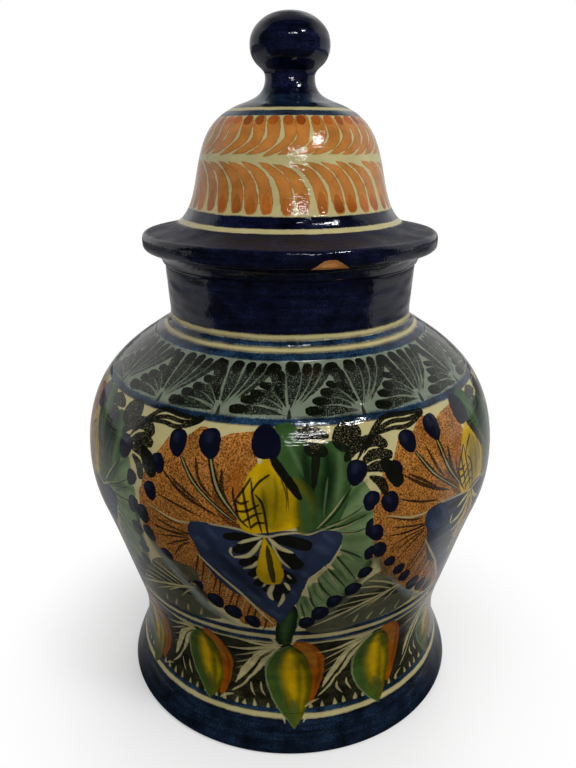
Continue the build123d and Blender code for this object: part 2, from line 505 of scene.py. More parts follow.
def glazeMaterial(name, bands, wall, layers, skin, chipped=False, dusty=(), ripple=1.0):
    # skin: stretches of the outline that aren't painted; dusty: level stretches, dull with dust
    mat = bpy.data.materials.new(name)
    mat.use_nodes = True
    tree = mat.node_tree
    shader = tree.nodes["Principled BSDF"]
    grain = put("Group", tree=tree, node_tree=glazeGrain).outputs

    def kept(word):  # a value kept on the mesh
        return put("Attribute", tree=tree, attribute_name=word).outputs

    travel = kept("travel")["Fac"]
    band = put("Group", {"Travel": travel, **{word: grain[word] for word in bandGrain}},
               node_tree=bandGroup(name + "_bands", bands, wall)).outputs
    colour = band["Colour"]
    tone = scaled(grain["Tone"], 0.7, 1.3, 0.25, 0.75)
    for k in range(layers):
        place, form, ink = kept(f"place{k}"), kept(f"form{k}"), kept(f"ink{k}")
        colour = put("Group", {
            "Under": colour, "Place": place["Vector"], "Form": form["Color"], "Tail": form["Alpha"],
            "Ink": ink["Color"], "Cover": ink["Alpha"], "Tone": tone,
            **{word: grain[word] for word in strokeGrain}}, node_tree=brushStroke).outputs["Colour"]
    cloudy = scaled(grain["Tone"], 0.75, 1.2, 0.25, 0.75)
    way = plus(travel, times(grain["Edge"], 1.4))
    patches = [(kind, within(way, start, end, 0.3)) for kind, start, end in skin]
    if chipped:
        broken = ranged(plus(kept("chip")["Fac"], times(grain["Edge"], 0.7)), -0.15, 0.25)
        patches.append(("chipClay", broken))
    bare = 0.0
    for kind, share in patches:
        colour = mixed(share, colour, tinted((*pigment[kind], 1), cloudy))
        if kind != "inside":
            bare = sums("MAXIMUM", bare, share)
    rough = scaled(grain["Tone"], *glaze["gloss"])
    if skin:
        rough = plus(rough, times(bare, glaze["bareRough"]))
    for start, end in dusty:
        dust = scaled(grain["Tone"], *glaze["dust"])
        rough = sums("MULTIPLY_ADD", within(way, start, end, 2), dust, rough)
    relief = plus(times(grain["Rings"], glaze["rings"]), times(grain["Tone"], glaze["tone"]))
    height = sums("MULTIPLY_ADD", band["Lumpy"], glaze["lumps"], glaze["ridge"])  # thick blue glaze is lumpy
    relief = plus(times(grain["Ridge"], height), relief)
    relief = sums("MULTIPLY_ADD", grain["Dimple"], glaze["dimple"], relief)
    if skin:
        relief = plus(relief, times(times(bare, grain["Grit"]), glaze["grit"]))
    bump = put("Bump", {"Strength": glaze["bump"], "Distance": glaze["bumpDepth"] * ripple, "Height": relief})
    for word, value in {"Base Color": colour, "Roughness": rough, "Normal": bump.outputs[0]}.items():
        tree.links.new(value, shader.inputs[word])
    shader.inputs["IOR"].default_value = glaze["ior"]
    return mat


# jar

jarForm = {
    "breaks": [(100.5, 0), (67.9, 257)], "gaps": [9, 2, 6], "shares": [0.08, 0.8, 0.12], "steps": 360, "sectors": 20,
    "bands": [(19, "footBlue"), (21.7, "cream"), (24.9, "lineBlue"), (70.9, "ground"), (72.2, "cream"),
        (75.7, "lineBlue"), (78, "cream"), (82.2, "lineBlue"), (197, "cream"), (200.3, "lineBlue"),
        (219.4, "wash"), (222.2, "lineBlue"), (223.9, "cream"), (227.3, "lineBlue"), (229.9, "cream"),
        (260, "navy")],
}
jar, jarPoints, jarTravel, jarMarks = spunPiece("jar_glazed", jarForm, "jar", "jar")
jarWall = PaintedWall(jar, jarPoints, jarTravel, *jarMarks)

shoulderSpray = {
    "count": 18, "foot": 200.6,
    "drops": [(-14.4, 202.3, 5.2, 0.8), (-11.8, 206, 4.5, 1.7), (-9.4, 208.9, 4.6, 2), (-7.2, 212, 4.4, 2.2)],
    "tall": [(14.6, 218.8, 4.2, 8.4, 210.4, 1.8), (10.5, 218.6, 4.4, 6.3, 210.4, 1.9),
        (6.2, 218.9, 4.7, 4, 210.2, 1.7), (-4.8, 218.4, 5.8, -3.6, 211, 1.9), (-3.1, 216, 3.6, -2, 209, 1.3),
        (1, 219.1, 6.4, 1.1, 210, 0.9)],
    "slits": [(-11, 204.2, -6, 204), (-8.4, 207.3, -4.6, 205.8), (-6, 210, -3.4, 207.4),
        (-1.3, 216.6, -0.6, 208.6), (4.4, 217, 3, 210), (8.5, 217.4, 5.2, 210.4), (12.5, 217.6, 7.4, 210.6)],
}


def paintShoulder(wall):
    form = shoulderSpray
    for n in range(form["count"]):
        base, z = n * 360 / form["count"] + jitter(0.6), form["foot"]
        strokes = []
        for deg, up, width, lift in form["drops"]:
            deg, up = deg + jitter(0.5), up + jitter(0.3)
            path = [(base - 0.4, z + 0.4), (base + deg * 0.5, z + (up - z) * 0.6 + lift), (base + deg - 1.6, up)]
            strokes.append((path, width, 1, 0.62))
        for deg, up, width, halfDeg, halfUp, taper in form["tall"]:
            deg, up = deg + jitter(0.4), up + jitter(0.4)
            path = [(base + halfDeg * 0.05, z + 0.6), (base + halfDeg, halfUp), (base + deg, up)]
            strokes.append((path, width, taper, 0.5))
        for path, width, taper, _ in strokes:
            wall.brush(path, width * (1.14 + jitter(0.06)), "ink", (taper, 0.3), tail=1.84, grain=0.8, cover=0.95)
        for path, width, _, head in strokes:  # each stroke ends in a full round drop
            (d1, z1), (d2, z2) = path[1:]
            drop = [(d2 + (d1 - d2) * head, z2 + (z1 - z2) * head), (d2 + jitter(0.2), z2 + 0.1)]
            wall.brush(drop, width * 0.95, "ink", (0.62, 0.4), tail=1.97, grain=0.62)
        for deg, up, halfDeg, halfUp in form["slits"]:  # bare wash between the strokes
            wall.brush([(base, z + 1), (base + halfDeg, halfUp), (base + deg, up)], 0.8, "wash", (0.4, 0.6),
                       cover=0.8)
        stem = [(base, z - 1), (base + 0.1, z + 3.2)]
        wall.brush(stem, 2.2, "ink", (0.15, 0.8), grain=0.4, tail=0.9, cover=0.92)


palmette = {
    "count": 6, "core": (-6.5, 150), "early": 2, "catchUp": 0.4,
    "rustTips": [(-11, 194, 23), (-18, 190.6, 22), (-25.6, 189.6, 23), (-32.8, 181.5, 29), (-37.4, 163, 34),
        (-38.4, 145, 34), (-36, 127, 32), (-29, 109, 28), (-20, 95, 24), (-9.6, 84, 20)],
    "rustBuds": [(-28.2, 186, 8.6), (-19.3, 188.4, 9.4), (-33, 175, 7.4), (-34.8, 160.5, 7.8), (-37.8, 146, 7.6),
        (-36.6, 135, 7.2), (-32.6, 124.4, 6.8), (-28.6, 116.4, 7.4), (-25.6, 108.8, 7.8), (-20.6, 99.2, 8.8),
        (-16, 93, 8.8), (-10.6, 87.4, 8.2)],
    "stalks": [(-11.4, 155.6, -16.4, 169, -18.9, 183, 3.4, 1.2), (-12.2, 154, -21.6, 168.6, -26.6, 181, 2.5, 0.9)],
    "rays": [(-16.45, 156.05, -25, 164, -31.4, 173, 2.1), (-20.7, 161.15, -24.6, 165.8, -29.6, 172, 1.6),
        (-17.65, 164.5, -20.8, 172, -22.9, 182, 1.8), (-12.2, 159, -15.2, 168, -15.6, 179, 2.3),
        (-20.25, 153.8, -27, 157.4, -32.6, 161, 1.4), (-25.25, 147.35, -29, 148.4, -35, 153, 1.2),
        (-15.85, 159, -19.6, 165, -24, 176, 1.2), (-10.95, 158, -12.6, 164, -12.8, 172, 1.4)],
    "edgeEnds": [(-34.4, 147.4), (-34.6, 142), (-33.6, 136.4), (-32, 131), (-30, 126)],
    "hatchLines": 13,
    "greenTips": [(7, 151, 18.6, 168, 19), (9, 149, 20.4, 152, 18), (10.5, 143, 20.2, 137, 17),
        (9.5, 135, 19, 122, 16), (7, 126, 16, 109, 15), (5, 117, 11.4, 100, 13), (2.5, 108, 6.4, 91, 11),
        (0.5, 98, 2.8, 85, 8)],
    "greenBuds": [(15.2, 176.6, 9), (18.6, 163, 6.8), (19.2, 149, 8), (19.2, 134.4, 7), (18.6, 121, 7),
        (16.4, 110, 8), (11.8, 102.6, 8), (8, 94.8, 8.6), (4.6, 88, 7.6)],
    "greenVeins": [(6.6, 152.6, 10.4, 161, 14.4, 171.4), (7.4, 151.8, 12.4, 155.6, 17, 161),
        (8.2, 151.2, 13, 152.6, 17.6, 157), (10.6, 149.4, 14, 148.4, 17.6, 150), (10.8, 141, 14.4, 136, 17.6, 131),
        (10.2, 138, 13.4, 128, 16.8, 117), (8.4, 130.6, 11.4, 121, 14.6, 111.6), (6.4, 122, 8.6, 113, 11.4, 104.8),
        (4.6, 112.6, 6, 104, 8, 97), (2.6, 103.4, 3.4, 96.6, 4.6, 90)],
    "heart": [-2.6, 86, -3.65, 100, -4.5, 110, -6, 120, -6.5, 130, -6.3, 140, -6.2, 151.4],
    "petals": [(-6.7, 146.8, -11, 146.7, -15.4, 146, 4.6), (-6.7, 144.9, -9.8, 141.4, -13.2, 138.4, 5.4),
        (-7.1, 136.4, -9.2, 133.6, -11.9, 130.2, 4.8), (-7.3, 129, -8, 125.6, -9.4, 121.8, 5.2),
        (-6.2, 122, -7.2, 119, -8.7, 115.6, 4.8), (-5, 118.6, -5.5, 115, -6.2, 111.6, 4.6),
        (-3.1, 117.6, -3, 111, -3.2, 104.6, 5.2), (-2, 118.4, -1.3, 115, -0.6, 111, 4.4),
        (-3.9, 147, 0.4, 145.6, 4.9, 142.4, 7.4), (-3.4, 141.6, -0.6, 136, 2.7, 129.6, 8.4),
        (-1.3, 128, -0.3, 123, 1, 118, 5.8)],
    "petalGaps": [(-6.4, 147.2, -9, 145.6, -11.8, 142.8, 2), (-6.2, 146, -9.4, 136.6, -13.4, 134.2, 2.6),
        (-13.4, 140.4, -13.9, 137.4, -13.3, 134.4, 1.4), (-7.4, 133.4, -8.8, 129.6, -11.2, 127.2, 2.2),
        (-7.4, 124, -7.9, 122, -8.8, 120.4, 1.5), (-5.9, 119, -6.3, 116.6, -7, 114.5, 1.3),
        (-4.1, 117.6, -5.2, 110.4, -4.3, 105.2, 2.8), (-1.6, 110.8, -2, 106, -3.2, 100.4, 2.2),
        (-1.4, 119, -0.6, 116.4, -0.1, 113, 2), (-4.7, 147.4, -2.4, 142, 0.8, 138.8, 2.5),
        (-4.1, 144.4, -2.5, 135.6, 0.2, 129.2, 1.8), (-0.6, 124.6, -0.2, 123, 0.4, 121.4, 1.4)],
    "hatch": [(-8.9, 175.8, -10.6, 170, -12.6, 164.4), (-10.8, 171.4, -10, 163.4, -8.7, 150.6),
        (-12.4, 164.4, -11.4, 157, -9.2, 151.6), (-8.8, 175, -8.1, 164.6, -6, 149.6),
        (-7.8, 169, -6, 163.6, -4.7, 148.4), (-4.6, 178, -7.2, 174, -8.5, 168.6),
        (-12.5, 165, -10.8, 163.4, -9, 165.6), (-12.3, 159.6, -9.8, 160.2, -6.7, 164.2),
        (-10.8, 154.4, -8, 158.8, -5.7, 160.4), (-8.8, 152, -7.2, 154.8, -5.4, 155)],
    "leafSlits": [(31, 103.6, 19.6, 114.6, 1.4), (29.4, 102.6, 17, 110.4, 1.3), (27, 101.4, 14.4, 104.4, 1.3),
        (24, 99.4, 11.6, 98.4, 1.2), (20, 96.6, 9, 92, 1.2), (32, 103.6, 21.6, 92.6, 1.3),
        (29, 101.6, 14.6, 87.4, 1.2), (33.4, 104, 27, 93, 1)],
    "heartLights": [(-20.4, 141, 9, 0.5), (-14, 133, 6, 0.3), (-15.6, 121, 5, 0.35), (-9.4, 108, 6, 0.35),
        (7.6, 141, 8, 0.45), (3.4, 126, 6, 0.35), (0.6, 113, 5, 0.4), (-4, 96, 6, 0.35), (-18, 147.6, 5, 0.4),
        (9, 147.6, 5, 0.35)],
    "gapFlower": [(9.6, 192.8, 5.4, 194.2, 1.4, 193.4, 6.8), (8.8, 185.6, 6.6, 188, 3.2, 188.4, 7),
        (12.4, 186, 13.2, 192, 17.4, 195.6, 12), (12.6, 182.4, 15.6, 187.6, 20.4, 189.6, 24.2, 186.4, 7),
        (16.8, 180.6, 20.6, 183.8, 24.8, 182, 6), (17.4, 177.6, 21, 178.4, 25.4, 176.4, 6),
        (18.4, 174.8, 21.4, 171, 22.4, 164.6, 5)],
    "gapLeaf": [(15.6, 181.6, 19.6, 190.6, 24.6, 197.4, 31, 197.4, 37, 196.8, 2.9),
        (17.4, 184.6, 21.8, 192.4, 26.6, 195.4, 32, 194.8, 37, 196.4, 2.5),
        (21.4, 191.6, 26, 192.9, 31, 192.4, 36.6, 195.4, 2.6)],
}


def paintPalmette(wall, turn):
    form = palmette
    lay, wash = brusher(wall, turn)
    coreD, coreZ = form["core"]
    # dark feathered leaf in the gap below, with cream slits, and pale washes beside it
    lay((37, 97, 23, 97, 4, 84.6), 31, "inkSoft", (0.3, 0.4), loose=0.1)
    lay((37, 101, 25, 104, 12, 94), 13, "ground", (0.3, 0.5), 0.85, grain=0.5, tail=1.85)
    lay((40, 88, 28, 86, 12, 84), 10, "inkSoft", (0.2, 0.3), loose=0.1)
    lay((36, 117, 27, 113, 19, 108), 15, "inkSoft", (0.4, 0.4), grain=0.3, tail=1.8)
    wash((22, 131, 28.5, 114, 37, 93, 46, 82.6), 11, "washGrey", 0.95, (0.3, 0.4))
    lay((27, 117, 33, 106, 39, 93), 1.4, "inkSoft", (0.4, 0.5), 0.7)
    lay((34, 105, 21.6, 97.6, 6, 85), 1.8, "cream", (0.5, 0.6), 0.9)
    for d, z, d2, z2, w in form["leafSlits"]:
        lay((d, z, (d + d2) / 2, (z + z2) / 2 + 1, d2, z2), w, "cream", (0.7, 0.7), 0.8)
    for d in (19, 23.4, 28, 33):
        lay((d + 1.4, 89.4 + jitter(1), d, 83.4), 1.7, "cream", (0.9, 0.2), 0.6)
    for d, z in ((37.6, 117), (34, 120), (40, 111)):
        lay((32, 107, 34, 111.6, d, z), 1.8, "inkSoft", (0.4, 0.6), 0.8, grain=0.3)
    # green half: pale lobes, darker washes, then veins
    for d0, z0, d, z, w in form["greenTips"]:
        lay((d0, z0, (d0 + d) / 2, (z0 + z) / 2 + 2, d, z), w, "leafPale", (0.45, 0.25))
    for k, (d0, z0, d, z, w) in enumerate(form["greenTips"]):
        wash((d0, z0 + 2, (d0 + d) / 2, (z0 + z) / 2 + 5, d, z + 6), w * 0.5, "leafGreen", 0.5 if k > 1 else 0.85,
             (0.4, 0.5))
    lay((5.4, 150, 8.8, 170, 10.6, 191), 20, "leafGreen", (0.3, 0.3), loose=0.1)
    wash((9.6, 158, 11.4, 174, 11.6, 188), 8, "leafPale", 0.45)
    lay((4.2, 150, 3.2, 172, -2.4, 198), 17.5, "leafGreen", (0.25, 0.3), loose=0.1)
    wash((4.6, 153, 4.2, 172, 3.2, 191), 12, "leafDark", 0.97, (0.4, 0.4))
    wash((7.6, 158, 8.4, 174, 8.6, 190), 12, "leafDark", 0.97, (0.4, 0.4))
    lay((5.2, 170, 5.6, 178, 6.2, 188), 4.2, "ink", (0.6, 0.3), 0.95)
    wash((-2.6, 195, 0.4, 187, 3, 176), 4, "leafPale", 0.35)
    wash((11, 132, 13.6, 126, 16.4, 117), 6.4, "leafPale", 0.75)
    lay((7.2, 157, 8, 165, 8.4, 177), 1.3, "leafPale", (0.4, 0.6), 0.5)
    for n, path in enumerate(form["greenVeins"]):
        lay(path, 1.2, "leafDark", (0.3, 0.4), 0.85, grain=0.2)
        light = np.add(path, (-0.6, -0.5, -0.9, -0.7, -1.1, -1.6))
        lay(light, 0.9, "cream", (0.4, 0.8), 0.45 if n else 0.85)
        if n > 4:  # long folds of the lower leaf
            wash(np.add(path, (-1, -5, -1.4, -4.4, -1.6, -3)), 2.4, "leafGreen", 0.75, (0.4, 0.6))
    # rust half: sponged ground, then dry stalks and rays
    for d, z, w in form["rustTips"]:
        lay((coreD + (d - coreD) * 0.2, coreZ + (z - coreZ) * 0.2, d, z), w, "rust", (0.6, 0.12), grain=1.95)
    lay((-6, 150.4, -13, 158.6, -22, 167), 19, "rust", (0.16, 0.2), grain=1.95, loose=0.05)
    wash((-9.6, 156, -12, 170, -10.6, 184), 13, "rustDeep", 0.6, (0.4, 0.4))
    lay((-10, 153, -14.6, 160, -18, 168), 9, "rustDark", (0.3, 0.8), 0.8, grain=0.7, tail=1.75)
    for *path, w in form["rays"]:
        lay(path, w, "ink", (0.5, 0.5), 0.92, grain=0.45, tail=1.86)
    for *path, w, pith in form["stalks"]:
        lay(path, w, "ink", (0.3, 0.14), grain=0.4, tail=1.9, loose=0.05)
        lay(path, pith, "stalk", (0.3, 0.2), 0.9, grain=0.4, tail=1.85, loose=0.05)
    lay((-7.6, 148.8, -13, 150.8, -21, 152), 1.2, "cream", (0.4, 0.5), 0.8)
    lay((-21, 150.4, -28, 149.6, -36, 154), 1.3, "cream", (0.4, 0.5), 0.85)
    lay((-24, 143, -29, 141.4, -35, 142.4), 1.3, "ink", (0.3, 0.5), 0.8, grain=0.4)
    for d, z in form["edgeEnds"]:
        lay((-24, 141 + (z - 137) * 0.2, (d - 24) / 2, (z + 141) / 2 + 0.6, d, z), 1.3, "ink", (0.25, 0.5), 0.85,
            grain=0.5)
    for k in range(form["hatchLines"]):  # close lines that run down from the heart's edge
        z = 133 - k * 3.4
        d = -4.9 - (z - 89) * 0.395
        ink, w, cover = ("cream", 0.9, 0.55) if k % 3 == 2 else ("ink", 1.2, 0.85)
        lay((d, z, d - 1.4, z - 9, d - 3.4 + k * 0.1, z - 21 + k * 0.8), w, ink, (0.25, 0.5), cover, grain=0.5)
    # shade behind the buds on both sides
    wash((19.8, 153, 20.2, 137, 18.4, 119, 13.6, 105, 7, 93), 8, "leafDark", 0.7, (0.3, 0.3))
    wash((-38.4, 150, -36.8, 131, -30, 113, -23, 101), 6, "inkSoft", 0.7, (0.4, 0.4))
    # leaf tip that crosses the lines of the foot
    lay((0.4, 102, -1.4, 84, -1.9, 66.6), 10.4, "leafDark", (0.3, 0.4), loose=0.1)
    wash((0.6, 99, -1.2, 84, -1.9, 69), 8.4, "leafGreen", 0.95, (0.4, 0.5))
    for path in ((-9, 77.1, -5.4, 75.6, -4.3, 69.6), (5, 76.6, 1.6, 75, 0.6, 69.6)):  # the lines turn down beside it
        lay(path, 2.2, "cream", (0.3, 0.3), 0.9, loose=0.1)
    # heart
    lay(form["heart"], 75, "cobalt", (1.15, 0.1), loose=0.03)
    for d, z, w, more in form["heartLights"]:
        wash((d - 2, z + 3, d, z - 1, d + 1.6, z - 5), w, "cobaltPale", more * 0.8)
    wash((-17.6, 137, -13, 124, -6, 104), 11, "budBlue", 0.6)
    wash((4.4, 143, 3, 131, -1.4, 106), 8, "budBlue", 0.5)
    lay((-22.8, 132.6, -18, 120, -12.8, 108.4, -8.6, 97, -4.6, 86.6), 1.7, "cream", (0.25, 0.25), 0.92, loose=0.06)
    lay((11.8, 142.4, 9.4, 131, 6, 120.4, 4.6, 115), 1.6, "cream", (0.3, 0.3), 0.9, loose=0.06)
    lay((-19, 151.4, -12, 150.6, -5.8, 148.2, -2, 149.6, 1.6, 150.4, 4, 148.8, 7.6, 151.4), 1.4, "cream", (0.3, 0.3),
        0.85)
    # flower that hangs in it: dark petals with bare cream between them
    for *path, w in form["petals"]:
        lay(path, w, "ink", (0.55, 0.3), grain=0.12, tail=0.95, loose=0.08)
    for *path, w in form["petalGaps"]:
        lay(path, w, "cream", (0.4, 0.5), loose=0.1)
    lay((-5.6, 148.6, -5, 132, -4.3, 117.2), 12.6, "yellow", (1, 0.36), loose=0.08)
    lay((-5.3, 144, -4.7, 132, -4, 119), 3.2, "leafDark", (0.4, 0.3), 0.92, grain=0.3)
    # pomegranate above the heart
    lay((-5.4, 185, -5.2, 168, -3.8, 150.6), 31, "yellow", (0.75, 0.2), loose=0.1)
    wash((-5, 181, -4.6, 166, -3.8, 151), 26, "olive", 0.6, (0.5, 0.3))
    wash((-3.4, 179, -2.8, 168, -3.2, 154), 3.4, "olive", 0.7)
    wash((0.6, 177, 3, 164, 2.8, 149), 13.6, "olive", ends=(0.4, 0.3))
    wash((1.6, 172, 3.8, 161, 4, 149.6), 9.4, "leafGreen", 0.95, (0.4, 0.3))
    wash((-6.2, 172, -5.4, 162, -4.6, 152), 4.4, "olive", 0.8, (0.5, 0.6))
    for path in form["hatch"]:
        lay(path, 1.45, "ink", (0.25, 0.35), 0.93, grain=0.15, loose=0.15)
    for d in (-1.9, -1.2):
        lay((d, 177, d + 0.9, 168, d + 1.2, 160), 0.9, "ink", (0.3, 0.6), 0.8, grain=0.2)
    for d, z in ((-7.1, 184.6), (-3.5, 183)):
        lay((d, z - 2.6, d + 0.1, z + 1.6), 3, "cream", (0.6, 0.5), loose=0.1)
    # bud on top of it, and its dark stalk
    lay((-4.2, 185, -1, 177, 2.4, 166.6), 4.4, "ink", (0.2, 0.3), loose=0.1)
    lay((-6.4, 184.2, -6, 198), 12.4, "budBlue", (0.4, 0.44), loose=0.1)
    lay((-4.4, 184.4, -4.4, 196), 8, "budBlue", (0.36, 0.4), loose=0.1)
    # blue buds round the rim
    for d, z, w in form["rustBuds"] + form["greenBuds"]:
        lean = 0.9 if d < coreD else -0.9
        w *= (1.14 if z > 128 else 1.06) * (1 + jitter(0.08))
        tall = w * (0.55 if z > 128 else 0.52)
        lay((d + lean, z - tall, d - lean, z + tall), w, "budBlue", (0.58, 0.4), loose=0.15)
        wash((d + lean * 0.4 - 0.4, z, d - lean - 0.4, z + tall * 0.9), w * 0.6, "cobalt", 0.4)


def paintGap(wall, turn):
    lay, _ = brusher(wall, turn)
    # dark flower and leaves at the top of the gap
    for *path, w in palmette["gapFlower"]:
        lay(path, w, "ink", (0.5, 0.34), grain=0.56, tail=1.88, loose=0.15)
    lay((21.4, 181, 24, 174.6, 26.4, 168), 7.6, "ink", (0.5, 0.3))
    # curled leaf that points to the right
    for *path, w in palmette["gapLeaf"]:
        lay(path, w, "ink", (0.4, 0.3), grain=0.5, tail=1.9, loose=0.12)
    lay((34.8, 195, 37.6, 197.6), 4.2, "ink", (0.5, 0.35), grain=0.3)


footFruit = {"count": 12, "first": 0.6, "triangles": 96, "lifts": (0, 4, 8), "widths": (1, 1.02, 0.88)}


def paintFruit(wall, turn, drop, slim):
    lay, wash = brusher(wall, turn, slim, 1.4)
    # cream feather to the left of each fruit
    lay((-2.6, 68.4, -9, 62.6, -12.8, 54, -18.8, 36.4), 4.6, "cream", (0.6, 0.6), 0.96)
    lay((-2.8, 67, -8, 58.6, -11, 49.6, -14.2, 41), 3.2, "cream", (0.6, 0.7), 0.95)
    lay((-5.4, 61.6, -7.2, 57, -8.8, 51), 1.4, "cream", (0.5, 0.7), 0.75)
    lay((-13.4, 45, -16, 37, -20.4, 30.6), 1.6, "cream", (0.5, 0.6), 0.85)
    lay((-4.4, 66.6, -9.6, 58.6, -12, 50, -15.6, 41.6), 0.8, "ground", (0.3, 0.4), 0.9)
    lay((-8.4, 63.4, -12, 57, -15, 48), 0.6, "ground", (0.3, 0.5), 0.7)
    lay((-3, 69, -9, 66.8, -15, 63.6, -22, 61.6), 2.6, "cream", (0.35, 0.9), 0.92)
    lay((-2.4, 69.8, -8, 69.4, -16, 71.4), 2.2, "cream", (0.3, 0.5), 0.92)
    for z, w, cover in ((61, 1.5, 0.8), (56, 1.1, 0.55), (51, 1, 0.5), (46, 0.9, 0.4)):
        lay((-6.4 - (66 - z) * 0.34, z + 5, -12 - (66 - z) * 0.16, z, -19.4, z - 5.4), w, "cream", (0.4, 0.8), cover)
    for d, z in ((-13.2, 35), (-9.6, 36)):
        lay((d - 0.2, z + 4.4, d - 0.1, z, d + 1.7, z - 4.6), 1.5, "cream", (0.6, 0.7), 0.8)
    lay((-24.6, 25.4, -22, 28, -19.6, 29.4), 1.6, "cream", (0.4, 0.6), 0.7)
    # rust petal, green side, yellow middle
    lay((1.6, 72, 6.4, 62, 8.2, 48, 6.2, 27), 11, "rustDeep", (0.3, 0.5), loose=0.1)
    lay((2.2, 70.6, 6.2, 62, 8.4, 50), 7, "rust", (0.4, 0.6), 0.9, grain=0.6, tail=1.8)
    wash((8.6, 61, 9.8, 48, 8.2, 33), 3.4, "rustDark", 0.6)
    lay((-0.4, 69.2, -1, 45 - drop * 0.4, 1.4, 14 - drop), 24.6, "leafPale", (0.66, 0.9), loose=0.06)
    lay((-0.2, 69, -0.6, 45 - drop * 0.4, 1.5, 14.2 - drop), 23.4, "fruitGreen", (0.66, 0.9), loose=0.06)
    wash((-3.4, 63, -5.4, 46, -2.6, 27), 5.4, "leafGreen", 0.8)
    lay((1.4, 67, 3.2, 57, 4.4, 47), 4.4, "rustDark", (0.4, 0.6), loose=0.1)
    lay((-0.3, 67.6, 2, 43, 2, 15.6 - drop), 16.4, "olive", (0.66, 0.75), loose=0.06)
    wash((-2.2, 60, -2.8, 45, -1.2, 26), 6, "fruitGreen", 0.9)
    wash((-0.4, 68, -0.3, 46, 1.4, 20 - drop), 14, "yellow", ends=(0.55, 0.7), loose=0.06)
    wash((-0.3, 66, 0.1, 47, 1.4, 26 - drop), 9.4, "yellow", ends=(0.55, 0.7), loose=0.06)
    wash((2.8, 56, 4.6, 43, 3.4, 22 - drop), 6.4, "yellow", 0.6, (0.6, 0.6))
    wash((0.2, 31 - drop, 1.2, 22 - drop, 1.6, 15.6 - drop), 8, "leafGreen", 0.75, (0.4, 0.5))
    if drop > -2:  # the line below turns down beside it
        dip = 20 - drop * 0.3
        for path in ((-6, 20.6, -2.6, dip, -1.6, 16.4 - drop), (9, 20.6, 5.4, dip, 4.2, 17 - drop)):
            lay(path, 2, "cream", (0.3, 0.6), 0.85, loose=0.1)


def paintFoot(wall):
    form = footFruit
    for k in range(form["triangles"]):
        d = k * 360 / form["triangles"] + jitter(0.7)
        wall.brush([(d, 24.8), (d + jitter(0.4), 28.8 + jitter(0.8))], 2.4 + jitter(0.6), "cream", (0.15, 1),
                   cover=0.7)
    for n in range(form["count"]):
        turn = form["first"] + n * 360 / form["count"] + jitter(0.8)
        drop = (jitter(1.5) if n else 0) - form["lifts"][n % 3]  # no two hang equally low
        paintFruit(wall, turn, drop, form["widths"][n % 3])


paintShoulder(jarWall)
turns = [n * 360 / palmette["count"] - (palmette["early"] - palmette["catchUp"] * (n - 1)) * (n > 0)
         for n in range(palmette["count"])]  # spaced by eye
for paint in (paintPalmette, paintGap):  # the gaps come last, over their neighbours
    for turn in turns:
        paint(jarWall, turn)
paintFoot(jarWall)
jarLayers = jarWall.keep()
footRun, mouthRun = (float(jarTravel[k]) for k in jarMarks)
farEnd = 9999  # past the end of any outline
jar.data.materials.append(glazeMaterial(
    "jarGlaze", jarForm["bands"], jarWall, jarLayers,
    [("clay", -9, footRun - 1), ("inside", mouthRun + 5, farEnd), ("clay", mouthRun + 0.3, mouthRun + 4)]))
print("jar painted")

# lid

lidForm = {
    "breaks": [(25, 338), (71, 257)], "gaps": [6, 1.5, 4], "shares": [0.04, 0.76, 0.2], "steps": 320, "sectors": 20,
    "bands": [(277.8, "navy"), (279.8, "cream"), (285.2, "navy"), (331, "cream"), (333.6, "lineBlue"),
        (335, "cream"), (400, "footBlue")],
    "upperRow": 37, "lowerRow": 39, "heads": ("amberDark", "amberDark", "amberDeep"),
    "brimTop": (277.6, 272.9), "flange": 28, "ripple": 1.5,
    "chip": {"at": 13.6, "top": 268.4, "depth": 1.7, "inner": 75.5, "topWidth": 2.6, "splay": 1.5, "edge": 1.6},
}


def chipBrim(piece, form):  # a small piece broken off the brim's lower edge
    mesh = piece.data
    co = meshArrays(mesh)[1]
    away = np.degrees(np.arctan2(co[:, 0], -co[:, 1])) - form["at"]
    reach, up = np.hypot(co[:, 0], co[:, 1]) / mm, co[:, 2] / mm
    half = np.clip(form["topWidth"] + (form["top"] - up) * form["splay"], 0, 9)
    inside = np.minimum(half - np.abs(np.radians(away)) * reach, form["top"] - up)
    inside = np.where((reach > form["inner"]) & (up < form["top"] + 3), inside, -9)
    co[:, :2] *= (1 - form["depth"] * np.clip(inside / form["edge"], 0, 1) / np.maximum(reach, 1))[:, None]
    mesh.vertices.foreach_set("co", co.ravel())
    mesh.attributes.new("chip", "FLOAT", "POINT").data.foreach_set("value", inside.astype(np.float32))


lid, lidPoints, lidTravel, lidMarks = spunPiece("lid_glazed", lidForm, "lid", "lid")
lidWall = PaintedWall(lid, lidPoints, lidTravel, *lidMarks)
chipBrim(lid, lidForm["chip"])


